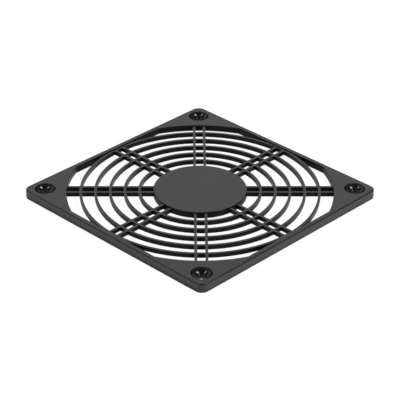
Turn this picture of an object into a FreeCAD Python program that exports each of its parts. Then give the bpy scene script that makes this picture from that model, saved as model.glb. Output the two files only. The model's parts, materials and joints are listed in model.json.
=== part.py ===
import FreeCAD, Part
import math
import os
import Sketcher

# Fan cover: a finger guard moulded in one piece, which screws over the face of a square axial fan.
# The part lies as it is used on a bench: its face looks up (+Z), and it rests on its skirt and its
# four screw bosses at Z = 0. The origin is the middle of the underside. All lengths are millimetres.

# Driving sizes: name, value, meaning
SIZES = (
    ("overall_width", "120.5", "outside of the square frame"),
    ("overall_height", "4.5", "from the resting face to the top face"),
    ("corner_radius", "4", "frame corners, seen from above"),
    ("top_edge_round", "0.9", "rounded edge all round the top face"),
    ("skirt_wall", "1.2", "thickness of the outer skirt below the grille"),
    ("side_bar", "2.65", "width of the frame at the middle of a side"),
    ("face_thickness", "1.5", "skin of the corner plates and of the hub"),
    ("grille_depth", "3.1", "depth of the rim wall and of the hub wall, from the top face"),
    ("rim_wall", "1.2", "thickness of the wall round the opening"),
    ("corner_gap", "6.25", "clear gap between the last ring and the corner arcs"),
    ("opening_corner_round", "0.8", "where a corner arc meets a straight side"),
    ("opening_bevel", "0.3", "top edge of the opening"),
    ("hub_radius", "22.5", "round disc in the middle"),
    ("hub_wall", "1.2", "thickness of the wall under the disc"),
    ("hub_bevel", "0.3", "top edge of the disc"),
    ("ring_count", "5", "rings between the hub and the frame"),
    ("ring_bite", "0.1", "how far the last ring sinks into the side bars at its top"),
    ("rib_top_width", "1", "width of the rings and spokes at their top"),
    ("rib_draft", "3.5", "draft of each rib flank in degrees, so ribs are wider at their foot"),
    ("rib_height", "2.3", "height of the rings and spokes"),
    ("rib_setback", "0.45", "top of the ribs below the top face"),
    ("spoke_spacing", "5", "between the middles of the two spokes of a pair"),
    ("corner_count", "4", "corners, and so screw holes and pairs of spokes of each kind"),
    ("screw_inset", "7.75", "from the outside of the frame to the middle of a screw hole"),
    ("screw_bore", "4.5", "clearance hole for an M4 screw"),
    ("countersink_width", "10.2", "countersink at the top face"),
    ("countersink_angle", "90", "in degrees"),
    ("boss_width", "13.4", "screw boss under each corner plate"),
)

# Measures that follow from the driving sizes
HALF = "sizes.overall_width / 2"
OPENING_HALF = "(sizes.overall_width / 2 - sizes.side_bar)"
RECESS_DEPTH = "(sizes.overall_height - sizes.grille_depth)"
SKIN_FLOOR = "(sizes.overall_height - sizes.face_thickness)"
RIB_FOOT = "(sizes.overall_height - sizes.rib_setback - sizes.rib_height)"
RIB_TOP = "(sizes.overall_height - sizes.rib_setback)"
RIB_FOOT_WIDTH = "(sizes.rib_top_width + 2 * sizes.rib_height * tan(sizes.rib_draft * 1 deg))"
LAST_RING = "(" + OPENING_HALF + " - sizes.rib_top_width / 2 + sizes.ring_bite)"
RING_PITCH = "((" + LAST_RING + " - sizes.hub_radius + sizes.rib_top_width / 2) / sizes.ring_count)"
ARC_RADIUS = "(" + LAST_RING + " + sizes.rib_top_width / 2 + sizes.corner_gap)"
SKIRT_INSIDE = "(sizes.overall_width / 2 - sizes.skirt_wall)"
SKIRT_INSIDE_RADIUS = "(sizes.corner_radius - sizes.skirt_wall)"
SCREW_PLACE = "(sizes.overall_width / 2 - sizes.screw_inset)"
SPOKE_START = "(sizes.hub_radius - sizes.hub_wall / 2)"

NEAR = 1e-4
QUARTER = math.pi / 2
CENTRE = (-1, 1)

doc = FreeCAD.newDocument("fan_cover")
sheet = doc.addObject("Spreadsheet::Sheet", "sizes")
for row, (alias, number, meaning) in enumerate(SIZES, start=1):
    sheet.set("A%d" % row, meaning)
    sheet.set("B%d" % row, number)
    sheet.setAlias("B%d" % row, alias)
doc.recompute()

body = doc.addObject("PartDesign::Body", "fan_cover")
body.Label = "fan_cover"


def size(expression):
    """The present value of an expression over the sheet."""
    return float(body.evalExpression(expression))


def origin_feature(role):
    return [feature for feature in body.Origin.OriginFeatures if feature.Role == role][0]


def new_sketch(name, plane="XY_Plane", level=None, turn=0):
    """A sketch on one of the body's origin planes, raised to a level and turned in its own plane."""
    sketch = body.newObject("Sketcher::SketchObject", name)
    sketch.AttachmentSupport = [(origin_feature(plane), "")]
    sketch.MapMode = "FlatFace"
    turned = FreeCAD.Rotation(FreeCAD.Vector(0, 0, 1), turn)
    sketch.AttachmentOffset = FreeCAD.Placement(FreeCAD.Vector(0, 0, 0), turned)
    if level:
        sketch.setExpression("AttachmentOffset.Base.z", level)
    return sketch


def point(x, y):
    return FreeCAD.Vector(x, y, 0)


def line(sketch, start, end):
    return sketch.addGeometry(Part.LineSegment(point(*start), point(*end)), False)


def arc(sketch, centre, radius, start, end):
    """An arc of a circle that turns left between two angles."""
    circle = Part.Circle(point(*centre), FreeCAD.Vector(0, 0, 1), radius)
    return sketch.addGeometry(Part.ArcOfCircle(circle, start, end), False)


def rule(sketch, kind, *places):
    sketch.addConstraint(Sketcher.Constraint(kind, *places))


def dimension(sketch, kind, places, expression):
    """A driving dimension of a sketch, bound to the sheet."""
    index = sketch.addConstraint(Sketcher.Constraint(kind, *places, size(expression)))
    sketch.setExpression("Constraints[%d]" % index, expression)


def right_of_centre(sketch, geometry, end, expression):
    dimension(sketch, "DistanceX", (*CENTRE, geometry, end), expression)


def left_of_centre(sketch, geometry, end, expression):
    dimension(sketch, "DistanceX", (geometry, end, *CENTRE), expression)


def above_centre(sketch, geometry, end, expression):
    dimension(sketch, "DistanceY", (*CENTRE, geometry, end), expression)


def below_centre(sketch, geometry, end, expression):
    dimension(sketch, "DistanceY", (geometry, end, *CENTRE), expression)


def draw_disc(sketch, diameter, x=None, y=None):
    """A whole circle about the sketch's centre, or with its middle at X and Y."""
    middle = point(size(x), size(y)) if x else point(0, 0)
    index = sketch.addGeometry(Part.Circle(middle, FreeCAD.Vector(0, 0, 1), size(diameter) / 2), False)
    if x:
        right_of_centre(sketch, index, 3, x)
        above_centre(sketch, index, 3, y)
    else:
        rule(sketch, "Coincident", index, 3, *CENTRE)
    dimension(sketch, "Diameter", (index,), diameter)


def draw_rounded_square(sketch, half, radius):
    """A square about the centre with four rounded corners."""
    reach = size(half)
    bend = size(radius)
    flat = reach - bend
    sides = [
        line(sketch, (-flat, -reach), (flat, -reach)),
        line(sketch, (reach, -flat), (reach, flat)),
        line(sketch, (flat, reach), (-flat, reach)),
        line(sketch, (-reach, flat), (-reach, -flat)),
    ]
    corners = []
    for step, (x, y) in enumerate(((flat, -flat), (flat, flat), (-flat, flat), (-flat, -flat))):
        corners.append(arc(sketch, (x, y), bend, (step - 1) * QUARTER, step * QUARTER))
    for side, corner, following in zip(sides, corners, sides[1:] + sides[:1]):
        rule(sketch, "Tangent", side, 2, corner, 1)
        rule(sketch, "Tangent", corner, 2, following, 1)
    rule(sketch, "Horizontal", sides[0])
    rule(sketch, "Symmetric", sides[0], 1, sides[2], 1, *CENTRE)
    rule(sketch, "Symmetric", sides[1], 1, sides[3], 1, *CENTRE)
    for corner in corners[1:]:
        rule(sketch, "Equal", corners[0], corner)
    dimension(sketch, "Radius", (corners[0],), radius)
    right_of_centre(sketch, sides[1], 2, half)
    above_centre(sketch, sides[2], 1, half)


def draw_opening(sketch):
    """The airway: a circle cut by four straight sides, which leaves four corner arcs."""
    reach = size(OPENING_HALF)
    radius = size(ARC_RADIUS)
    meet = math.sqrt(radius ** 2 - reach ** 2)
    low = math.atan2(meet, reach)
    sides = [
        line(sketch, (reach, -meet), (reach, meet)),
        line(sketch, (meet, reach), (-meet, reach)),
        line(sketch, (-reach, meet), (-reach, -meet)),
        line(sketch, (-meet, -reach), (meet, -reach)),
    ]
    arcs = []
    for step in range(4):
        arcs.append(arc(sketch, (0, 0), radius, low + step * QUARTER, (step + 1) * QUARTER - low))
    for side, bend, following in zip(sides, arcs, sides[1:] + sides[:1]):
        rule(sketch, "Coincident", side, 2, bend, 1)
        rule(sketch, "Coincident", bend, 2, following, 1)
        rule(sketch, "Coincident", bend, 3, *CENTRE)
    rule(sketch, "Vertical", sides[0])
    rule(sketch, "Horizontal", sides[1])
    rule(sketch, "Vertical", sides[2])
    rule(sketch, "Horizontal", sides[3])
    dimension(sketch, "Radius", (arcs[0],), ARC_RADIUS)
    right_of_centre(sketch, sides[0], 2, OPENING_HALF)
    above_centre(sketch, sides[1], 1, OPENING_HALF)
    left_of_centre(sketch, sides[2], 1, OPENING_HALF)
    below_centre(sketch, sides[3], 1, OPENING_HALF)


def draw_corner_pocket(sketch):
    """One corner between the rim wall and the inside of the skirt."""
    reach = size(SKIRT_INSIDE)
    bend = size(SKIRT_INSIDE_RADIUS)
    wall = ARC_RADIUS + " + sizes.rim_wall"
    radius = size(wall)
    meet = math.sqrt(radius ** 2 - reach ** 2)
    low = math.atan2(meet, reach)
    side = line(sketch, (reach, meet), (reach, reach - bend))
    corner = arc(sketch, (reach - bend, reach - bend), bend, 0, QUARTER)
    end = line(sketch, (reach - bend, reach), (meet, reach))
    rim = arc(sketch, (0, 0), radius, low, QUARTER - low)
    rule(sketch, "Tangent", side, 2, corner, 1)
    rule(sketch, "Tangent", corner, 2, end, 1)
    rule(sketch, "Coincident", end, 2, rim, 2)
    rule(sketch, "Coincident", rim, 1, side, 1)
    rule(sketch, "Coincident", rim, 3, *CENTRE)
    rule(sketch, "Vertical", side)
    rule(sketch, "Horizontal", end)
    dimension(sketch, "Radius", (rim,), wall)
    dimension(sketch, "Radius", (corner,), SKIRT_INSIDE_RADIUS)
    right_of_centre(sketch, side, 1, SKIRT_INSIDE)
    above_centre(sketch, end, 1, SKIRT_INSIDE)


def draw_spoke_pair(sketch, reach):
    """The feet of two parallel spokes, one each side of the X axis, from the hub wall to a reach."""
    near_edge = "(sizes.spoke_spacing - " + RIB_FOOT_WIDTH + ") / 2"
    far_edge = "(sizes.spoke_spacing + " + RIB_FOOT_WIDTH + ") / 2"
    inner = size(SPOKE_START)
    outer = size(reach)
    for sign, set_level in ((1, above_centre), (-1, below_centre)):
        near = sign * size(near_edge)
        far = sign * size(far_edge)
        first = line(sketch, (inner, near), (outer, near))
        tip = line(sketch, (outer, near), (outer, far))
        second = line(sketch, (outer, far), (inner, far))
        root = line(sketch, (inner, far), (inner, near))
        for edge, following in ((first, tip), (tip, second), (second, root), (root, first)):
            rule(sketch, "Coincident", edge, 2, following, 1)
        rule(sketch, "Horizontal", first)
        rule(sketch, "Horizontal", second)
        rule(sketch, "Vertical", tip)
        rule(sketch, "Vertical", root)
        right_of_centre(sketch, first, 1, SPOKE_START)
        right_of_centre(sketch, first, 2, reach)
        set_level(sketch, first, 1, near_edge)
        set_level(sketch, second, 1, far_edge)


def draw_ring_section(sketch, middle):
    """The section of one ring about its middle radius: narrow top, drafted flanks, wider foot."""
    inner_foot = middle + " - " + RIB_FOOT_WIDTH + " / 2"
    outer_foot = middle + " + " + RIB_FOOT_WIDTH + " / 2"
    inner_top = middle + " - sizes.rib_top_width / 2"
    outer_top = middle + " + sizes.rib_top_width / 2"
    low = size(RIB_FOOT)
    high = size(RIB_TOP)
    foot = line(sketch, (size(inner_foot), low), (size(outer_foot), low))
    outer = line(sketch, (size(outer_foot), low), (size(outer_top), high))
    top = line(sketch, (size(outer_top), high), (size(inner_top), high))
    inner = line(sketch, (size(inner_top), high), (size(inner_foot), low))
    for edge, following in ((foot, outer), (outer, top), (top, inner), (inner, foot)):
        rule(sketch, "Coincident", edge, 2, following, 1)
    rule(sketch, "Horizontal", foot)
    rule(sketch, "Horizontal", top)
    right_of_centre(sketch, foot, 1, inner_foot)
    right_of_centre(sketch, foot, 2, outer_foot)
    right_of_centre(sketch, top, 2, inner_top)
    right_of_centre(sketch, top, 1, outer_top)
    above_centre(sketch, foot, 1, RIB_FOOT)
    above_centre(sketch, top, 1, RIB_TOP)


def pad(name, sketch, length, taper=None):
    """Raises a sketch by a length, with its flanks leaning by the taper: inwards if it is negative."""
    feature = body.newObject("PartDesign::Pad", name)
    feature.Profile = sketch
    feature.setExpression("Length", length)
    if taper:
        feature.setExpression("TaperAngle", taper)
    doc.recompute()
    return feature


def pocket_upwards(name, sketch, depth):
    """Cuts a sketch upwards into the underside by a depth."""
    feature = body.newObject("PartDesign::Pocket", name)
    feature.Profile = sketch
    feature.Reversed = True
    feature.setExpression("Length", depth)
    doc.recompute()
    return feature


def repeat_round(name, feature):
    """Repeats a feature at every corner, about the middle of the cover."""
    pattern = body.newObject("PartDesign::PolarPattern", name)
    pattern.Originals = [feature]
    pattern.Axis = (origin_feature("Z_Axis"), [""])
    pattern.Angle = 360
    pattern.setExpression("Occurrences", "sizes.corner_count")
    body.Tip = pattern
    doc.recompute()
    return pattern


def dress_edges(kind, measure, name, amount, chosen):
    """Rounds or bevels the edges of the body that a test picks."""
    before = body.Tip
    names = ["Edge%d" % number for number, edge in enumerate(before.Shape.Edges, start=1) if chosen(edge)]
    feature = body.newObject(kind, name)
    feature.Base = (before, names)
    feature.setExpression(measure, amount)
    doc.recompute()


def round_edges(name, radius, chosen):
    dress_edges("PartDesign::Fillet", "Radius", name, radius, chosen)


def bevel_edges(name, width, chosen):
    dress_edges("PartDesign::Chamfer", "Size", name, width, chosen)


def at_top(edge):
    return edge.BoundBox.ZMin > size("sizes.overall_height") - NEAR


def is_upright(edge):
    return edge.BoundBox.XLength < NEAR and edge.BoundBox.YLength < NEAR


def far_out(edge):
    """True for an edge on the outside of the frame or on its outer round."""
    box = edge.BoundBox
    reach = max(abs(box.XMin), abs(box.XMax), abs(box.YMin), abs(box.YMax))
    return reach > size(HALF + " - sizes.top_edge_round") - NEAR


def make_frame():
    """The square frame: skirt, corner plates and rim, with the opening cut through."""
    outline = new_sketch("outline")
    draw_rounded_square(outline, HALF, "sizes.corner_radius")
    pad("block", outline, "sizes.overall_height")
    round_edges("outer_round", "sizes.top_edge_round", at_top)

    inside = new_sketch("skirt_inside")
    draw_rounded_square(inside, SKIRT_INSIDE, SKIRT_INSIDE_RADIUS)
    pocket_upwards("recess", inside, RECESS_DEPTH)

    airway = new_sketch("airway")
    draw_opening(airway)
    pocket_upwards("opening", airway, "sizes.overall_height")
    round_edges("opening_corners", "sizes.opening_corner_round",
                lambda edge: is_upright(edge) and not far_out(edge)
                and math.hypot(edge.BoundBox.XMin, edge.BoundBox.YMin) < size(ARC_RADIUS) + NEAR)
    bevel_edges("opening_bevel", "sizes.opening_bevel", lambda edge: at_top(edge) and not far_out(edge))

    hollow = new_sketch("corner_hollow")
    draw_corner_pocket(hollow)
    first = pocket_upwards("corner_pocket", hollow, SKIN_FLOOR)
    repeat_round("corner_pockets", first)


def make_bosses():
    """A boss under each screw hole, from the resting face up into the corner plate."""
    foot = new_sketch("boss_foot")
    draw_disc(foot, "sizes.boss_width", SCREW_PLACE, SCREW_PLACE)
    first = pad("boss", foot, SKIN_FLOOR + " + sizes.face_thickness / 2")
    repeat_round("bosses", first)


def make_spokes():
    """Pairs of parallel spokes with drafted flanks, to the middles of the sides and to the corners."""
    for name, turn, reach in (("side_spokes", 0, OPENING_HALF), ("corner_spokes", 45, ARC_RADIUS)):
        feet = new_sketch(name + "_feet", level=RIB_FOOT, turn=turn)
        draw_spoke_pair(feet, reach + " + sizes.rim_wall / 2")
        pair = pad(name, feet, "sizes.rib_height", "-sizes.rib_draft")
        repeat_round("all_" + name, pair)


def make_hub():
    """The disc in the middle, hollow underneath so that it moulds without a sink mark."""
    disc = new_sketch("hub_disc", level=RECESS_DEPTH)
    draw_disc(disc, "2 * sizes.hub_radius")
    pad("hub", disc, "sizes.grille_depth")
    radius = size("sizes.hub_radius")
    bevel_edges("hub_bevel", "sizes.hub_bevel",
                lambda edge: at_top(edge) and abs(edge.BoundBox.XMax - radius) < NEAR)

    hollow = new_sketch("hub_inside")
    draw_disc(hollow, "2 * (sizes.hub_radius - sizes.hub_wall)")
    pocket_upwards("hub_hollow", hollow, SKIN_FLOOR)


def make_rings():
    """All the rings in one turn about the middle; they cross the spokes at the same height."""
    sections = new_sketch("ring_sections", "XZ_Plane")
    for index in range(int(size("sizes.ring_count"))):
        draw_ring_section(sections, "(" + LAST_RING + " - " + RING_PITCH + " * %d)" % index)
    feature = body.newObject("PartDesign::Revolution", "rings")
    feature.Profile = sections
    feature.ReferenceAxis = (origin_feature("Z_Axis"), [""])
    feature.Angle = 360
    doc.recompute()


def make_screw_holes():
    """A countersunk clearance hole through each corner plate and its boss."""
    mark = new_sketch("screw_mark", level="sizes.overall_height")
    draw_disc(mark, "sizes.screw_bore", SCREW_PLACE, SCREW_PLACE)
    doc.recompute()
    hole = body.newObject("PartDesign::Hole", "screw_hole")
    hole.Profile = mark
    doc.recompute()
    hole.DepthType = "ThroughAll"
    hole.setExpression("Diameter", "sizes.screw_bore")
    hole.HoleCutType = "Countersink"
    hole.HoleCutCustomValues = True
    hole.setExpression("HoleCutDiameter", "sizes.countersink_width")
    hole.setExpression("HoleCutCountersinkAngle", "sizes.countersink_angle")
    doc.recompute()
    repeat_round("screw_holes", hole)


ADDS = ("block", "bosses", "all_side_spokes", "all_corner_spokes", "hub", "rings")
CUTS = ("outer_round", "recess", "opening", "opening_bevel", "corner_pockets", "hub_bevel", "hub_hollow",
        "screw_holes")


def check_model():
    """Stops on a feature that failed, that moved no material or that moved it the wrong way."""
    for item in doc.Objects:
        if "Invalid" in item.State or "Error" in item.State:
            raise RuntimeError(item.Name + " failed: " + ", ".join(item.State))
    before = 0.0
    for item in body.Group:
        if item.TypeId == "Sketcher::SketchObject":
            continue
        change = item.Shape.Volume - before
        print("%-20s %10.1f mm3 %+10.1f" % (item.Name, item.Shape.Volume, change))
        if item.Name in ADDS and change <= 0:
            raise RuntimeError(item.Name + " adds nothing")
        if item.Name in CUTS and change >= 0:
            raise RuntimeError(item.Name + " cuts nothing")
        before = item.Shape.Volume
    if body.Shape.isNull() or not body.Shape.isValid() or len(body.Shape.Solids) != 1:
        raise RuntimeError("the cover is not one sound solid")


make_frame()
make_bosses()
make_spokes()
make_hub()
make_rings()
make_screw_holes()
check_model()

os.makedirs("parts", exist_ok=True)
body.Shape.exportStep("parts/" + body.Label + ".step")
print("ring pitch %.3f mm, corner arc radius %.3f mm" % (size(RING_PITCH), size(ARC_RADIUS)))
print("fan_cover: %d faces, box %s" % (len(body.Shape.Faces), body.Shape.BoundBox))
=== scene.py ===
import json
import math
import bmesh
import bpy
from mathutils import Matrix, Vector


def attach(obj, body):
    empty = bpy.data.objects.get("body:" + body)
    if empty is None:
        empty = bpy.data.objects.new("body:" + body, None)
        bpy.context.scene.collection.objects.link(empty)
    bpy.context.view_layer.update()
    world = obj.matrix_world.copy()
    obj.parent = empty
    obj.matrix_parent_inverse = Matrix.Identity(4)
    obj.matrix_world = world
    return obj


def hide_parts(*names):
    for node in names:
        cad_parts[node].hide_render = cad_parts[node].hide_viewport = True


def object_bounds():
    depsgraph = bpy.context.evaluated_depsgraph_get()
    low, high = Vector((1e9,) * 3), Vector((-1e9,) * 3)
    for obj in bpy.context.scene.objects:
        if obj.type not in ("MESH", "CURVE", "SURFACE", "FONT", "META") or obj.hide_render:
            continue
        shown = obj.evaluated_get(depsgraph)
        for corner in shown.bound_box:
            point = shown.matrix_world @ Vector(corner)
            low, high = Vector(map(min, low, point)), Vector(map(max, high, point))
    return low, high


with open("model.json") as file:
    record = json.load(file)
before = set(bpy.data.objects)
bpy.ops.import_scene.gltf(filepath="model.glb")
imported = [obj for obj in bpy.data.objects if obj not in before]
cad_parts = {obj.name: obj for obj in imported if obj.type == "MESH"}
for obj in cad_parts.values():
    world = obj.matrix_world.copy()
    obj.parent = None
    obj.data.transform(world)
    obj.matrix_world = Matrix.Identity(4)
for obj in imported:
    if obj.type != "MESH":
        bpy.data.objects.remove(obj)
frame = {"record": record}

# Fan cover: one black injection moulding, a square frame with a ringed grille, lying face up.
# Shapes are written in millimetres and turned to metres where they are used.
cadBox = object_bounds()
mm = 0.001
screwMount = next(mount for mount in frame["record"]["mounts"] if mount["kind"] == "bolt_pattern")
print("frame loaded: box", [round(side / mm, 2) for side in cadBox[1] - cadBox[0]], "mm")


# outlines, seen from above

def arcPoints(centre, radius, start, end, steps):
    points = []
    for step in range(steps + 1):
        angle = math.radians(start + (end - start) * step / steps)
        points.append((centre[0] + radius * math.cos(angle), centre[1] + radius * math.sin(angle)))
    return points


def circleOutline(radius, steps):
    return arcPoints((0, 0), radius, 0, 360, steps)[:-1]


def roundedSquare(half, radius, steps):
    points = []
    for quarter in range(4):
        turn = Matrix.Rotation(math.radians(90 * quarter), 2)
        for corner in arcPoints((half - radius, half - radius), radius, 0, 90, steps):
            points.append(tuple(turn @ Vector(corner)))
    return points


# a closed solid from a stack of outlines with equal point counts, each at its own height

def stackSolid(name, levels):
    mesh = bpy.data.meshes.new(name)
    bm = bmesh.new()
    loops = [[bm.verts.new(Vector((x, y, z)) * mm) for x, y in outline] for outline, z in levels]
    for lower, upper in zip(loops, loops[1:]):
        for index in range(len(lower)):
            following = (index + 1) % len(lower)
            bm.faces.new((lower[index], lower[following], upper[following], upper[index]))
    bm.faces.new(loops[0])
    bm.faces.new(loops[-1])
    bmesh.ops.recalc_face_normals(bm, faces=bm.faces)
    bm.to_mesh(mesh)
    bm.free()
    solid = bpy.data.objects.new(name, mesh)
    bpy.context.scene.collection.objects.link(solid)
    return solid


# rows of offset and height for a rounded or flared edge: sign -1 leans in, +1 leans out

def edgeRound(radius, top, steps, sign):
    rows = []
    for step in range(steps + 1):
        angle = math.radians(90 * step / steps)
        rows.append((sign * radius * (1 - math.cos(angle)), top - radius + radius * math.sin(angle)))
    return rows


# frame: skirt, top plate and airway

frameShape = {
    "width": (cadBox[1].x - cadBox[0].x) / mm,
    "height": (cadBox[1].z - cadBox[0].z) / mm,
    "cornerRadius": 4.0,
    "topRound": 0.6,
    "footRound": 0.15,          # the skirt's lower edges, only just broken
    "skirtWall": 1.2,
    "sideBar": 2.65,
    "skin": 1.5,
    "grilleDepth": 3.1,
    "rimWall": 1.2,
    "cornerGap": 6.25,
    "airwayCornerRound": 0.8,
    "lipRound": 0.3,            # top edges of the airway and the hub
    "ringBite": 0.1,
    "cornerSteps": 14,
    "arcSteps": 28,
    "meetSteps": 4,
    "roundSteps": 6,
    "lipSteps": 4,
}
hubShape = {"radius": 22.5, "wall": 1.2, "steps": 120}
ribShape = {
    "ringCount": 5,
    "topWidth": 1.0,
    "draft": 3.5,               # degrees
    "height": 2.3,
    "setback": 0.45,            # rib tops lie below the face
    "topRound": 0.08,
    "roundSteps": 2,
    "directions": 8,
    "spokeSpacing": 5.0,
    "ringSteps": 176,
}

half = frameShape["width"] / 2
height = frameShape["height"]
openingHalf = half - frameShape["sideBar"]
lastRing = openingHalf - ribShape["topWidth"] / 2 + frameShape["ringBite"]
ringPitch = (lastRing - hubShape["radius"] + ribShape["topWidth"] / 2) / ribShape["ringCount"]
arcRadius = lastRing + ribShape["topWidth"] / 2 + frameShape["cornerGap"]
recessTop = height - frameShape["grilleDepth"]
skinFloor = height - frameShape["skin"]
beyond = 1.0                    # how far a cutter runs past the face that it opens


def airwayOutline(grow):
    # four straight sides and four corner arcs; where they meet, a small round touches both
    meet = frameShape["airwayCornerRound"]
    along = openingHalf - meet
    across = math.sqrt((arcRadius - meet) ** 2 - along ** 2)
    steps = frameShape["meetSteps"]
    lean = math.degrees(math.atan2(across, along))
    points = []
    for quarter in range(4):
        turn = Matrix.Rotation(math.radians(90 * quarter), 2)
        run = arcPoints((along, across), meet + grow, 0, lean, steps)
        run += arcPoints((0, 0), arcRadius + grow, lean, 90 - lean, frameShape["arcSteps"])[1:-1]
        run += arcPoints((across, along), meet + grow, 90 - lean, 90, steps)
        points += [tuple(turn @ Vector(point)) for point in run]
    return points


def makeBlock():
    # one closed stack: up inside the skirt from its roof, round the foot, up outside and over the top
    radius = frameShape["cornerRadius"]
    wall = frameShape["skirtWall"]
    steps = frameShape["cornerSteps"]
    foot = frameShape["footRound"]
    inside = [(wall, recessTop), (wall, foot), (wall - foot / 2, 0.0)]
    outside = [(foot / 2, 0.0), (0.0, foot)]
    rounding = edgeRound(frameShape["topRound"], height, frameShape["roundSteps"], -1)
    top = [(-lean, z) for lean, z in rounding]
    levels = []
    for inset, z in inside + outside + top:
        levels.append((roundedSquare(half - inset, radius - inset, steps), z))
    return stackSolid("block", levels)


def makeAirwayCutter():
    flare = edgeRound(frameShape["lipRound"], height, frameShape["lipSteps"], 1)
    rows = [(0.0, -beyond)] + flare + [(frameShape["lipRound"], height + beyond)]
    return stackSolid("airwayCutter", [(airwayOutline(grow), z) for grow, z in rows])


def makePocketCutter():
    # the square inside the skirt, below the skin; the rim's round core is taken out of it in the node tree
    inset = frameShape["skirtWall"]
    outline = roundedSquare(half - inset, frameShape["cornerRadius"] - inset, frameShape["cornerSteps"])
    return stackSolid("pocketCutter", [(outline, -beyond), (outline, skinFloor)])


def makeRimCore():
    outline = circleOutline(arcRadius + frameShape["rimWall"], 4 * frameShape["arcSteps"])
    return stackSolid("rimCore", [(outline, -2 * beyond), (outline, height)])


# hub: a disc with a rounded top edge, hollow underneath

def makeHub():
    radius = hubShape["radius"]
    inner = radius - hubShape["wall"]
    rows = [(inner, skinFloor), (inner, recessTop), (radius, recessTop)]
    rounding = edgeRound(frameShape["lipRound"], height, frameShape["lipSteps"], -1)
    rows += [(radius + lean, z) for lean, z in rounding]
    return stackSolid("hub", [(circleOutline(reach, hubShape["steps"]), z) for reach, z in rows])


# screw holes: a countersunk bore through each corner plate and the boss under it

screwShape = {
    "place": screwMount["dims"]["spacing_x_mm"] / 2,
    "bore": screwMount["dims"]["hole_r_mm"],
    "sinkRadius": 5.1,
    "rimRound": 0.05,
    "coneTilt": 45.0,           # degrees, half of the countersink's 90
    "sinkLean": 20.0,           # degrees that it is steeper at its rim, and flatter at its seat
    "seatRadius": 2.6,          # where the countersink ends and rounds into the bore
    "boss": 6.7,
    "bossFoot": 0.1,            # the boss's lower edge, only just broken
    "rimSteps": 2,
    "hollowSteps": 8,
    "seatSteps": 5,
    "steps": 72,
}


def sectionArc(start, radius, fromTilt, toTilt, steps):
    # a turned profile's arc: the tilt is that of the surface's normal, and a negative radius is a hollow
    def normal(tilt):
        return Vector((-math.cos(math.radians(tilt)), math.sin(math.radians(tilt))))
    centre = Vector(start) - radius * normal(fromTilt)
    tilts = [fromTilt + (toTilt - fromTilt) * (step + 1) / steps for step in range(steps)]
    return [tuple(centre + radius * normal(tilt)) for tilt in tilts]


def makeScrewCutter():
    lean = screwShape["sinkLean"]
    steep = screwShape["coneTilt"] - lean
    shallow = screwShape["coneTilt"] + lean
    rows = [(screwShape["sinkRadius"], height + beyond), (screwShape["sinkRadius"], height)]
    rows += sectionArc(rows[-1], screwShape["rimRound"], 90, steep, screwShape["rimSteps"])
    # how far inwards the hollow's arc reaches for each mm of its radius
    reachShare = 2 * math.sin(math.radians(screwShape["coneTilt"])) * math.sin(math.radians(lean))
    hollow = (rows[-1][0] - screwShape["seatRadius"]) / reachShare
    rows += sectionArc(rows[-1], -hollow, steep, shallow, screwShape["hollowSteps"])
    seatRound = (rows[-1][0] - screwShape["bore"]) / (1 - math.cos(math.radians(shallow)))
    rows += sectionArc(rows[-1], seatRound, shallow, 0, screwShape["seatSteps"])
    rows.append((rows[-1][0], -beyond))
    return stackSolid("screwCutter", [(circleOutline(reach, screwShape["steps"]), z) for reach, z in rows])


def makeBoss():
    radius = screwShape["boss"]
    foot = screwShape["bossFoot"]
    rows = [(radius - foot, 0.0), (radius, foot), (radius, skinFloor + frameShape["skin"] / 2)]
    return stackSolid("boss", [(circleOutline(reach, screwShape["steps"]), z) for reach, z in rows])


# one function adds a node: its settings, and its inputs by name or number, as values or as the
# sockets that feed them

nodeGrid = {"across": 190, "down": 260, "columns": 12}


def addNode(tree, kind, settings=None, inputs=None):
    node = tree.nodes.new(kind)
    row, column = divmod(len(tree.nodes), nodeGrid["columns"])
    node.location = (nodeGrid["across"] * column, -nodeGrid["down"] * row)
    for name, value in (settings or {}).items():
        setattr(node, name, value)
    for name, value in (inputs or {}).items():
        socket = node.inputs[name]
        for feed in value if isinstance(value, list) else [value]:
            if isinstance(feed, bpy.types.NodeSocket):
                tree.links.new(feed, socket)
            else:
                socket.default_value = feed
    return node


def linearColour(hexCode, alpha=1.0):
    channels = [int(hexCode[start:start + 2], 16) / 255 for start in (1, 3, 5)]
    linear = [c / 12.92 if c <= 0.04045 else ((c + 0.055) / 1.055) ** 2.4 for c in channels]
    return (*linear, alpha)


# materials: black ABS, pitted by a fine grain; its gloss drifts a little with the flow of the melt,
# and on the face its colour does too

plastic = {
    "ior": 1.54,
    "cloudSize": 14.0,          # mm across the faint flow marks
    "cloudDetail": 3.0,
    "cloudRange": (0.35, 0.65),     # the noise values that the marks run between
    "glossDrift": 0.05,         # share of the roughness
    "grainSize": 0.35,          # mm between pits; the real grain is finer, drawn coarse enough to show
    "grainDetail": 2.0,
}

# colours: the plain one, then that of the flow marks
# sheen: the specular level, 0.5 for plain reflection; the lower values on the walls and countersinks are
# painted shade, which darkens their reflections
# grainDepth: mm
finishes = {
    # the face and skirt come from a spark-eroded mould: an even satin black
    "Moulded Plastic": {"name": "sparkTexturedAbs", "colours": ("#121213", "#161616"),
                        "roughness": 0.28, "sheen": 0.5, "grainDepth": 0.012},
    # the walls of the airway and the ribs are drawn along a ground mould, with sharper glints; their low
    # specular level is painted shade, darker than the face
    "Drawn Plastic With Painted Shade": {"name": "drawnWallAbs", "colours": ("#121213", "#121213"),
                      "roughness": 0.19, "sheen": 0.11, "grainDepth": 0.004},
    # the screw holes form on polished core pins: glossy; their low specular level is painted shade, keeping
    # the hollow dark
    "Polished Plastic With Painted Shade": {"name": "polishedSinkAbs", "colours": ("#090909", "#090909"),
                         "roughness": 0.15, "sheen": 0.35, "grainDepth": 0.002},
}


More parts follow.
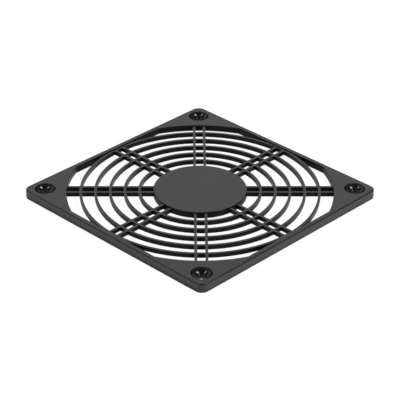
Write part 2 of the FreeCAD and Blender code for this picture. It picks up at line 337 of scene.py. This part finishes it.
def makePlastic(finish):
    material = bpy.data.materials.new(finish["name"])
    material.use_nodes = True
    tree = material.node_tree
    tree.nodes.clear()
    low, high = plastic["cloudRange"]
    drift = plastic["glossDrift"]
    place = addNode(tree, "ShaderNodeTexCoord").outputs["Object"]
    cloud = addNode(tree, "ShaderNodeTexNoise", None,
                    {"Vector": place, "Scale": 1 / (plastic["cloudSize"] * mm),
                     "Detail": plastic["cloudDetail"]})
    grain = addNode(tree, "ShaderNodeTexNoise", None,
                    {"Vector": place, "Scale": 1 / (plastic["grainSize"] * mm),
                     "Detail": plastic["grainDetail"]})
    colour = addNode(tree, "ShaderNodeValToRGB", None, {"Fac": cloud.outputs["Fac"]})
    for stop, position, hexCode in zip(colour.color_ramp.elements, (low, high), finish["colours"]):
        stop.position = position
        stop.color = linearColour(hexCode)
    gloss = addNode(tree, "ShaderNodeMapRange", None,
                    {"Value": cloud.outputs["Fac"], "From Min": low, "From Max": high,
                     "To Min": finish["roughness"] * (1 - drift),
                     "To Max": finish["roughness"] * (1 + drift)})
    bump = addNode(tree, "ShaderNodeBump", None,
                   {"Height": grain.outputs["Fac"], "Strength": 1.0, "Distance": finish["grainDepth"] * mm})
    shader = addNode(tree, "ShaderNodeBsdfPrincipled", None,
                     {"Base Color": colour.outputs["Color"], "Roughness": gloss.outputs["Result"],
                      "Normal": bump.outputs["Normal"], "IOR": plastic["ior"],
                      "Specular IOR Level": finish["sheen"]})
    addNode(tree, "ShaderNodeOutputMaterial", None, {"Surface": shader.outputs["BSDF"]})
    return material


# the grille and the joining of the whole moulding, as one node tree

finishEdges = {
    "wallTilt": 0.85,           # a face whose normal has less than this along Z can be a wall
    "sinkTilt": 0.93,           # and with less than this, part of a countersink
}
ribFoot = ribShape["topWidth"] + 2 * ribShape["height"] * math.tan(math.radians(ribShape["draft"]))

treeInputs = [
    ("Block", "NodeSocketGeometry", None),
    ("Airway Cutter", "NodeSocketObject", None),
    ("Pocket Cutter", "NodeSocketObject", None),
    ("Rim Core", "NodeSocketObject", None),
    ("Hub", "NodeSocketObject", None),
    ("Boss", "NodeSocketObject", None),
    ("Screw Cutter", "NodeSocketObject", None),
    ("Ring Count", "NodeSocketInt", ribShape["ringCount"]),
    ("Ring Steps", "NodeSocketInt", ribShape["ringSteps"]),
    ("Last Ring", "NodeSocketFloat", lastRing * mm),
    ("Ring Pitch", "NodeSocketFloat", ringPitch * mm),
    ("Rib Top Width", "NodeSocketFloat", ribShape["topWidth"] * mm),
    ("Rib Foot Width", "NodeSocketFloat", ribFoot * mm),
    ("Rib Height", "NodeSocketFloat", ribShape["height"] * mm),
    ("Rib Middle", "NodeSocketFloat", (height - ribShape["setback"] - ribShape["height"] / 2) * mm),
    ("Rib Round", "NodeSocketFloat", ribShape["topRound"] * mm),
    ("Spoke Start", "NodeSocketFloat", (hubShape["radius"] - hubShape["wall"] / 2) * mm),
    ("Side Reach", "NodeSocketFloat", (openingHalf + frameShape["rimWall"] / 2) * mm),
    ("Corner Reach", "NodeSocketFloat", (arcRadius + frameShape["rimWall"] / 2) * mm),
    ("Spoke Spacing", "NodeSocketFloat", ribShape["spokeSpacing"] * mm),
    ("Screw Place", "NodeSocketFloat", screwShape["place"] * mm),
    ("Sink Radius", "NodeSocketFloat", (screwShape["sinkRadius"] - screwShape["rimRound"]) * mm),
    ("Moulded Plastic", "NodeSocketMaterial", None),
    ("Drawn Plastic With Painted Shade", "NodeSocketMaterial", None),
    ("Polished Plastic With Painted Shade", "NodeSocketMaterial", None),
]

# the tree's sums: a name, the operation, and the inputs, earlier sums or numbers that it takes
treeSums = [
    # only the rib section's top corners are rounded
    ("isTop", "GREATER_THAN", "placeY", 0.0),
    ("sectionRound", "MULTIPLY", "isTop", "Rib Round"),
    # the rings' radii, from the last one inwards
    ("ringDrop", "MULTIPLY", "index", "Ring Pitch"),
    ("ringRadius", "SUBTRACT", "Last Ring", "ringDrop"),
    # the spokes: direction, start in the hub's wall, and length, which is greater towards a corner
    ("spokeAngle", "MULTIPLY", "index", math.tau / ribShape["directions"]),
    ("spokeCosine", "COSINE", "spokeAngle"),
    ("spokeSine", "SINE", "spokeAngle"),
    ("spokeX", "MULTIPLY", "Spoke Start", "spokeCosine"),
    ("spokeY", "MULTIPLY", "Spoke Start", "spokeSine"),
    ("toCorner", "FLOORED_MODULO", "index", 2.0),
    ("cornerExtra", "SUBTRACT", "Corner Reach", "Side Reach"),
    ("extra", "MULTIPLY", "toCorner", "cornerExtra"),
    ("spokeEnd", "ADD", "Side Reach", "extra"),
    ("spokeLength", "SUBTRACT", "spokeEnd", "Spoke Start"),
    ("oneSide", "MULTIPLY", "Spoke Spacing", -0.5),
    ("otherSide", "MULTIPLY", "Spoke Spacing", 0.5),
    # the four screw axes, half a turn step past the axes of the square
    ("halfStep", "ADD", "index", 0.5),
    ("screwAngle", "MULTIPLY", "halfStep", math.pi / 2),
    ("screwDistance", "MULTIPLY", "Screw Place", math.sqrt(2)),
    ("screwCosine", "COSINE", "screwAngle"),
    ("screwSine", "SINE", "screwAngle"),
    ("screwX", "MULTIPLY", "screwDistance", "screwCosine"),
    ("screwY", "MULTIPLY", "screwDistance", "screwSine"),
    # a wall is an upright face inside the airway
    ("farX", "ABSOLUTE", "placeX"),
    ("farY", "ABSOLUTE", "placeY"),
    ("tilt", "ABSOLUTE", "normalZ"),
    ("farSide", "MAXIMUM", "farX", "farY"),
    ("inSides", "LESS_THAN", "farSide", "Side Reach"),
    ("farXSquare", "MULTIPLY", "farX", "farX"),
    ("farYSquare", "MULTIPLY", "farY", "farY"),
    ("farSquares", "ADD", "farXSquare", "farYSquare"),
    ("fromMiddle", "SQRT", "farSquares"),
    ("inCorners", "LESS_THAN", "fromMiddle", "Corner Reach"),
    ("inAirway", "MULTIPLY", "inSides", "inCorners"),
    ("isUpright", "LESS_THAN", "tilt", finishEdges["wallTilt"]),
    ("isWall", "MULTIPLY", "inAirway", "isUpright"),
    # a countersink is a sloping face near a screw axis
    ("pastScrewX", "SUBTRACT", "farX", "Screw Place"),
    ("pastScrewY", "SUBTRACT", "farY", "Screw Place"),
    ("pastXSquare", "MULTIPLY", "pastScrewX", "pastScrewX"),
    ("pastYSquare", "MULTIPLY", "pastScrewY", "pastScrewY"),
    ("pastSquares", "ADD", "pastXSquare", "pastYSquare"),
    ("fromScrew", "SQRT", "pastSquares"),
    ("nearScrew", "LESS_THAN", "fromScrew", "Sink Radius"),
    ("isSloping", "LESS_THAN", "tilt", finishEdges["sinkTilt"]),
    ("isSink", "MULTIPLY", "nearScrew", "isSloping"),
]


def makeCoverTree():
    tree = bpy.data.node_groups.new("mouldCover", "GeometryNodeTree")
    for name, kind, default in treeInputs:
        socket = tree.interface.new_socket(name=name, in_out="INPUT", socket_type=kind)
        if default is not None:
            socket.default_value = default
    tree.interface.new_socket(name="Moulding", in_out="OUTPUT", socket_type="NodeSocketGeometry")

    # what the tree is given, what it reads off the mesh, and the sums of these
    value = {socket.name: socket for socket in addNode(tree, "NodeGroupInput").outputs}
    value["index"] = addNode(tree, "GeometryNodeInputIndex").outputs["Index"]
    position = addNode(tree, "GeometryNodeInputPosition").outputs["Position"]
    place = addNode(tree, "ShaderNodeSeparateXYZ", None, {"Vector": position})
    value["placeX"] = place.outputs["X"]
    value["placeY"] = place.outputs["Y"]
    facing = addNode(tree, "GeometryNodeInputNormal").outputs["Normal"]
    value["normalZ"] = addNode(tree, "ShaderNodeSeparateXYZ", None, {"Vector": facing}).outputs["Z"]
    for name, operation, *terms in treeSums:
        feeds = {slot: value.get(term, term) for slot, term in enumerate(terms)}
        value[name] = addNode(tree, "ShaderNodeMath", {"operation": operation}, feeds).outputs[0]

    # rib section: a drafted trapezium with its two top edges rounded
    section = addNode(tree, "GeometryNodeCurvePrimitiveQuadrilateral", {"mode": "TRAPEZOID"},
                      {"Bottom Width": value["Rib Foot Width"], "Top Width": value["Rib Top Width"],
                       "Height": value["Rib Height"], "Offset": 0.0})
    rounded = addNode(tree, "GeometryNodeFilletCurve", {"mode": "POLY"},
                      {"Curve": section.outputs["Curve"], "Count": ribShape["roundSteps"],
                       "Radius": value["sectionRound"]})
    profile = rounded.outputs["Curve"]

    # rings: one circle at each radius, swept with the section
    lift = addNode(tree, "ShaderNodeCombineXYZ", None, {"Z": value["Rib Middle"]})
    ringPoints = addNode(tree, "GeometryNodePoints", None,
                         {"Count": value["Ring Count"], "Position": lift.outputs["Vector"]})
    unitCircle = addNode(tree, "GeometryNodeCurvePrimitiveCircle", {"mode": "RADIUS"},
                         {"Resolution": value["Ring Steps"], "Radius": 1.0})
    circles = addNode(tree, "GeometryNodeInstanceOnPoints", None,
                      {"Points": ringPoints.outputs["Points"], "Instance": unitCircle.outputs["Curve"],
                       "Scale": value["ringRadius"]})
    ringCurves = addNode(tree, "GeometryNodeRealizeInstances", None,
                         {"Geometry": circles.outputs["Instances"]})
    uprightRings = addNode(tree, "GeometryNodeSetCurveNormal", {"mode": "Z_UP"},
                           {"Curve": ringCurves.outputs["Geometry"]})
    rings = addNode(tree, "GeometryNodeCurveToMesh", None,
                    {"Curve": uprightRings.outputs["Curve"], "Profile Curve": profile})

    # spokes: a pair of lines in each direction, stretched from the hub to a side or a corner
    start = addNode(tree, "ShaderNodeCombineXYZ", None,
                    {"X": value["spokeX"], "Y": value["spokeY"], "Z": value["Rib Middle"]})
    directions = addNode(tree, "GeometryNodePoints", None,
                         {"Count": ribShape["directions"], "Position": start.outputs["Vector"]})
    lines = []
    for aside in (value["oneSide"], value["otherSide"]):
        lineStart = addNode(tree, "ShaderNodeCombineXYZ", None, {"Y": aside})
        lineEnd = addNode(tree, "ShaderNodeCombineXYZ", None, {"X": 1.0, "Y": aside})
        line = addNode(tree, "GeometryNodeCurvePrimitiveLine", None,
                       {"Start": lineStart.outputs["Vector"], "End": lineEnd.outputs["Vector"]})
        lines.append(line.outputs["Curve"])
    pair = addNode(tree, "GeometryNodeJoinGeometry", None, {"Geometry": lines})
    turn = addNode(tree, "ShaderNodeCombineXYZ", None, {"Z": value["spokeAngle"]})
    swing = addNode(tree, "FunctionNodeEulerToRotation", None, {"Euler": turn.outputs["Vector"]})
    stretch = addNode(tree, "ShaderNodeCombineXYZ", None, {"X": value["spokeLength"], "Y": 1.0, "Z": 1.0})
    pairs = addNode(tree, "GeometryNodeInstanceOnPoints", None,
                    {"Points": directions.outputs["Points"], "Instance": pair.outputs["Geometry"],
                     "Rotation": swing.outputs["Rotation"], "Scale": stretch.outputs["Vector"]})
    spokeCurves = addNode(tree, "GeometryNodeRealizeInstances", None,
                          {"Geometry": pairs.outputs["Instances"]})
    uprightSpokes = addNode(tree, "GeometryNodeSetCurveNormal", {"mode": "Z_UP"},
                            {"Curve": spokeCurves.outputs["Geometry"]})
    spokes = addNode(tree, "GeometryNodeCurveToMesh", None,
                     {"Curve": uprightSpokes.outputs["Curve"], "Profile Curve": profile, "Fill Caps": True})

    # four corners: bosses to add and countersunk bores to cut
    screwPlace = addNode(tree, "ShaderNodeCombineXYZ", None, {"X": value["screwX"], "Y": value["screwY"]})
    corners = addNode(tree, "GeometryNodePoints", None,
                      {"Count": 4, "Position": screwPlace.outputs["Vector"]})
    shapes = {}
    for name in ("Airway Cutter", "Pocket Cutter", "Rim Core", "Hub", "Boss", "Screw Cutter"):
        shape = addNode(tree, "GeometryNodeObjectInfo", None, {"Object": value[name]})
        shapes[name] = shape.outputs["Geometry"]
    for name in ("Boss", "Screw Cutter"):
        four = addNode(tree, "GeometryNodeInstanceOnPoints", None,
                       {"Points": corners.outputs["Points"], "Instance": shapes[name]})
        shapes[name] = addNode(tree, "GeometryNodeRealizeInstances", None,
                               {"Geometry": four.outputs["Instances"]}).outputs["Geometry"]

    # cut the frame, join everything, then cut the screw holes
    cut = {"operation": "DIFFERENCE", "solver": "MANIFOLD"}
    join = {"operation": "UNION", "solver": "MANIFOLD"}
    pockets = addNode(tree, "GeometryNodeMeshBoolean", cut,
                      {"Mesh 1": shapes["Pocket Cutter"], "Mesh 2": shapes["Rim Core"]})
    shell = addNode(tree, "GeometryNodeMeshBoolean", cut,
                    {"Mesh 1": value["Block"],
                     "Mesh 2": [shapes["Airway Cutter"], pockets.outputs["Mesh"]]})
    whole = addNode(tree, "GeometryNodeMeshBoolean", join,
                    {"Mesh 2": [shell.outputs["Mesh"], shapes["Boss"], shapes["Hub"],
                                spokes.outputs["Mesh"], rings.outputs["Mesh"]]})
    drilled = addNode(tree, "GeometryNodeMeshBoolean", cut,
                      {"Mesh 1": whole.outputs["Mesh"], "Mesh 2": shapes["Screw Cutter"]})
    realized = addNode(tree, "GeometryNodeRealizeInstances", None, {"Geometry": drilled.outputs["Mesh"]})

    # the finishes: the whole cover, then its walls, then its countersinks; the last two carry painted shade
    # in their lowered specular level
    finished = realized.outputs["Geometry"]
    for finish, selection in (("Moulded Plastic", True), ("Drawn Plastic With Painted Shade", value["isWall"]),
                              ("Polished Plastic With Painted Shade", value["isSink"])):
        painted = addNode(tree, "GeometryNodeSetMaterial", None,
                          {"Geometry": finished, "Material": value[finish], "Selection": selection})
        finished = painted.outputs["Geometry"]
    addNode(tree, "NodeGroupOutput", None, {"Moulding": finished})
    return tree


def makeCover():
    block = makeBlock()
    helpers = {
        "Airway Cutter": makeAirwayCutter(),
        "Pocket Cutter": makePocketCutter(),
        "Rim Core": makeRimCore(),
        "Hub": makeHub(),
        "Boss": makeBoss(),
        "Screw Cutter": makeScrewCutter(),
    }
    for slot, finish in finishes.items():
        helpers[slot] = makePlastic(finish)
    modifier = block.modifiers.new("mouldCover", "NODES")
    modifier.node_group = makeCoverTree()
    identifiers = {item.name: item.identifier for item in modifier.node_group.interface.items_tree
                   if item.in_out == "INPUT"}
    for name, kind, default in treeInputs[1:]:
        modifier[identifiers[name]] = helpers[name] if default is None else default
    bpy.context.view_layer.update()
    evaluated = block.evaluated_get(bpy.context.evaluated_depsgraph_get())
    mesh = bpy.data.meshes.new_from_object(evaluated)
    mesh.name = "mouldedCover"
    cover = bpy.data.objects.new("mouldedCover", mesh)
    bpy.context.scene.collection.objects.link(cover)
    for spare in [block] + [thing for thing in helpers.values() if isinstance(thing, bpy.types.Object)]:
        bpy.data.objects.remove(spare)
    return cover


finishing = {
    "mergeDistance": 0.0005,    # mm; points closer than this are one
    "sharpAngle": 32,           # degrees; an edge that turns more stays sharp
    "normalWeight": 80,         # over 50, large faces lead the shading of small ones beside them
}


def finishCover(cover):
    # merge the joins, then smooth the curved faces and keep the flats flat
    merge = finishing["mergeDistance"] * mm
    bm = bmesh.new()
    bm.from_mesh(cover.data)
    bmesh.ops.remove_doubles(bm, verts=bm.verts, dist=merge)
    bmesh.ops.dissolve_degenerate(bm, edges=bm.edges, dist=merge)
    openEdges = sum(not edge.is_manifold for edge in bm.edges)
    print("cover: %d faces, %d open edges" % (len(bm.faces), openEdges))
    bm.to_mesh(cover.data)
    bm.free()
    cover.data.shade_smooth()
    cover.data.set_sharp_from_angle(angle=math.radians(finishing["sharpAngle"]))
    weighted = cover.modifiers.new("evenNormals", "WEIGHTED_NORMAL")
    weighted.keep_sharp = True
    weighted.weight = finishing["normalWeight"]
    bpy.context.view_layer.update()
    evaluated = cover.evaluated_get(bpy.context.evaluated_depsgraph_get())
    finished = bpy.data.meshes.new_from_object(evaluated)
    cover.modifiers.clear()
    cover.data = finished
    if finished.materials[0] is None:
        finished.materials.pop(index=0)    # the joins leave an empty slot, which no face uses
    return cover


cover = finishCover(makeCover())
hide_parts("fan_cover")
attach(cover, "root")
print("cover made: %d materials" % len(cover.data.materials))


# studio: a pale floor, a room that is white to the camera and graded in reflections, two soft boxes
# azimuths are in degrees from +X towards +Y; the camera stands near 225 and its right is near 315

studio = {
    "floorSize": 3.0,           # m
    "floorColour": "#f0f0f0",
    "floorGlow": 0.82,          # share of a white that only the camera sees and no shadow dims;
    "floorGlowStrength": 1.1,   # under the screw holes it is left out, so the bores keep their shadow
    "roomDiffuse": 0.65,        # the room's light on matte surfaces
    "lightTowards": 315,        # azimuth of the side that more of that light comes from
    "lightSwing": 0.9,          # share by which it rises there and falls on the other side
    "wallStops": [              # reflections: the sine of the elevation, and the room's brightness there
        (0.0, 0.4),
        (0.4, 0.62),
        (0.5, 1.1),
        (0.56, 0.9),
        (0.75, 0.22),
        (1.0, 0.42),
    ],
    "whiteTowards": 80,         # azimuth of the bright side in reflections, beyond the cover and left of it
    "dimSide": 0.35,            # the share of that brightness on the camera's side
    "dimUntil": -0.1,           # cosine of the angle to the bright side where the rise begins
    "brightFrom": 0.7,          # and where it ends
    "boxes": [                  # elevation in degrees, distance, width and height in m, power in W
        {"name": "softBoxLeft", "azimuth": 163, "elevation": 54, "distance": 0.9,
         "width": 0.12, "height": 0.34, "power": 1.4},
        {"name": "softBoxRight", "azimuth": 293, "elevation": 54, "distance": 0.9,
         "width": 0.2, "height": 0.3, "power": 3.4},
    ],
}


def makeFloor():
    mesh = bpy.data.meshes.new("floor")
    reach = studio["floorSize"] / 2
    mesh.from_pydata([(-reach, -reach, 0), (reach, -reach, 0), (reach, reach, 0), (-reach, reach, 0)], [],
                     [(0, 1, 2, 3)])
    floor = bpy.data.objects.new("floor", mesh)
    bpy.context.scene.collection.objects.link(floor)
    material = bpy.data.materials.new("paleSweep")
    material.use_nodes = True
    tree = material.node_tree
    tree.nodes.clear()
    seen = addNode(tree, "ShaderNodeLightPath").outputs["Is Camera Ray"]
    glow = addNode(tree, "ShaderNodeEmission", None,
                   {"Color": linearColour("#ffffff"), "Strength": studio["floorGlowStrength"]})
    place = addNode(tree, "ShaderNodeTexCoord").outputs["Object"]
    quadrant = addNode(tree, "ShaderNodeVectorMath", {"operation": "ABSOLUTE"}, {0: place})
    screwAxis = (screwShape["place"] * mm, screwShape["place"] * mm, 0)
    fromScrew = addNode(tree, "ShaderNodeVectorMath", {"operation": "DISTANCE"},
                        {0: quadrant.outputs["Vector"], 1: screwAxis})
    outside = addNode(tree, "ShaderNodeMath", {"operation": "GREATER_THAN"},
                      {0: fromScrew.outputs["Value"], 1: screwShape["boss"] / 2 * mm})
    matte = addNode(tree, "ShaderNodeBsdfDiffuse", None, {"Color": linearColour(studio["floorColour"])})
    lit = addNode(tree, "ShaderNodeMath", {"operation": "MULTIPLY"}, {0: seen, 1: outside.outputs[0]})
    share = addNode(tree, "ShaderNodeMapRange", None,
                    {"Value": lit.outputs[0], "To Max": studio["floorGlow"]})
    surface = addNode(tree, "ShaderNodeMixShader", None,
                      {"Fac": share.outputs["Result"], 1: matte.outputs["BSDF"],
                       2: glow.outputs["Emission"]})
    addNode(tree, "ShaderNodeOutputMaterial", None, {"Surface": surface.outputs["Shader"]})
    mesh.materials.append(material)
    return floor


def makeRoom():
    world = bpy.data.worlds.new("room")
    bpy.context.scene.world = world
    world.use_nodes = True
    tree = world.node_tree
    tree.nodes.clear()
    direction = addNode(tree, "ShaderNodeTexCoord").outputs["Generated"]

    # reflections: graded up the wall, and brighter beyond the cover
    towards = math.radians(studio["whiteTowards"])
    behind = addNode(tree, "ShaderNodeVectorMath", {"operation": "DOT_PRODUCT"},
                     {0: direction, 1: (math.cos(towards), math.sin(towards), 0)})
    side = addNode(tree, "ShaderNodeMapRange", {"interpolation_type": "SMOOTHSTEP"},
                   {"Value": behind.outputs["Value"], "From Min": studio["dimUntil"],
                    "From Max": studio["brightFrom"], "To Min": studio["dimSide"], "To Max": 1.0})
    rise = addNode(tree, "ShaderNodeSeparateXYZ", None, {"Vector": direction})
    wall = addNode(tree, "ShaderNodeValToRGB", None, {"Fac": rise.outputs["Z"]})
    ramp = wall.color_ramp
    ramp.interpolation = "EASE"
    while len(ramp.elements) < len(studio["wallStops"]):
        ramp.elements.new(0.5)
    for stop, (position, level) in zip(ramp.elements, studio["wallStops"]):
        stop.position = position
        stop.color = (level, level, level, 1.0)
    backdrop = addNode(tree, "ShaderNodeMath", {"operation": "MULTIPLY"},
                       {0: side.outputs["Result"], 1: wall.outputs["Color"]})

    # light on matte surfaces: most of it from one side
    lightSide = math.radians(studio["lightTowards"])
    sideways = addNode(tree, "ShaderNodeVectorMath", {"operation": "DOT_PRODUCT"},
                       {0: direction, 1: (math.cos(lightSide), math.sin(lightSide), 0)})
    swing = studio["roomDiffuse"] * studio["lightSwing"]
    diffuse = addNode(tree, "ShaderNodeMapRange", None,
                      {"Value": sideways.outputs["Value"], "From Min": -1.0, "From Max": 1.0,
                       "To Min": studio["roomDiffuse"] - swing, "To Max": studio["roomDiffuse"] + swing})

    # the camera sees plain white
    path = addNode(tree, "ShaderNodeLightPath").outputs
    mirrored = addNode(tree, "ShaderNodeMath", {"operation": "MAXIMUM"},
                       {0: path["Is Glossy Ray"], 1: path["Is Transmission Ray"]})
    graded = addNode(tree, "ShaderNodeMix", {"data_type": "FLOAT"},
                     {"Factor": mirrored.outputs[0], "A": diffuse.outputs["Result"],
                      "B": backdrop.outputs[0]})
    strength = addNode(tree, "ShaderNodeMix", {"data_type": "FLOAT"},
                       {"Factor": path["Is Camera Ray"], "A": graded.outputs["Result"], "B": 1.0})
    back = addNode(tree, "ShaderNodeBackground", None,
                   {"Color": linearColour("#ffffff"), "Strength": strength.outputs["Result"]})
    addNode(tree, "ShaderNodeOutputWorld", None, {"Surface": back.outputs["Background"]})


def makeBoxes():
    for box in studio["boxes"]:
        lamp = bpy.data.lights.new(box["name"], "AREA")
        lamp.shape = "RECTANGLE"
        lamp.size = box["width"]
        lamp.size_y = box["height"]
        lamp.energy = box["power"]
        azimuth = math.radians(box["azimuth"])
        elevation = math.radians(box["elevation"])
        away = Vector((math.cos(azimuth) * math.cos(elevation), math.sin(azimuth) * math.cos(elevation),
                       math.sin(elevation)))
        holder = bpy.data.objects.new(box["name"], lamp)
        holder.location = away * box["distance"]
        holder.rotation_euler = (-away).to_track_quat("-Z", "Y").to_euler()
        bpy.context.scene.collection.objects.link(holder)


# camera: fitted to the screw holes, rings, corners and edges in the photograph, then to all of it

shot = {
    "frameSide": 400,           # px
    "focal": 1736.5,            # px
    "elevation": 30.64,         # degrees above the horizon
    "yaw": 0.69,                # degrees past the corner's diagonal
    "roll": 0.34,
    "distance": 833.3,          # mm to the middle of the face
    "faceMiddle": (200.14, 188.47),     # px, where the middle of the face falls
    "sensor": 36.0,             # mm
    "clipStart": 0.05,          # m
}


def makeCamera():
    elevation = math.radians(shot["elevation"])
    turn = Matrix.Rotation(math.radians(45 + shot["yaw"]), 3, "Z")
    look = Matrix(((1, 0, 0), (0, -math.sin(elevation), -math.cos(elevation)),
                   (0, math.cos(elevation), -math.sin(elevation))))
    right, down, ahead = Matrix.Rotation(math.radians(shot["roll"]), 3, "Z") @ look @ turn
    centre = shot["frameSide"] / 2
    aside, below = [(pixel - centre) / shot["focal"] * shot["distance"] for pixel in shot["faceMiddle"]]
    face = Vector((0, 0, height))
    camera = bpy.data.objects.new("photoCamera", bpy.data.cameras.new("photoCamera"))
    camera.data.sensor_width = shot["sensor"]
    camera.data.lens = shot["focal"] / shot["frameSide"] * camera.data.sensor_width
    camera.data.clip_start = shot["clipStart"]
    place = (face - right * aside - down * below - ahead * shot["distance"]) * mm
    axes = Matrix((right, -down, -ahead)).transposed().to_4x4()
    camera.matrix_world = Matrix.Translation(place) @ axes
    bpy.context.scene.collection.objects.link(camera)
    bpy.context.scene.camera = camera


makeFloor()
makeRoom()
makeBoxes()
makeCamera()
bpy.context.scene.view_settings.view_transform = "Standard"
print("studio and camera ready")
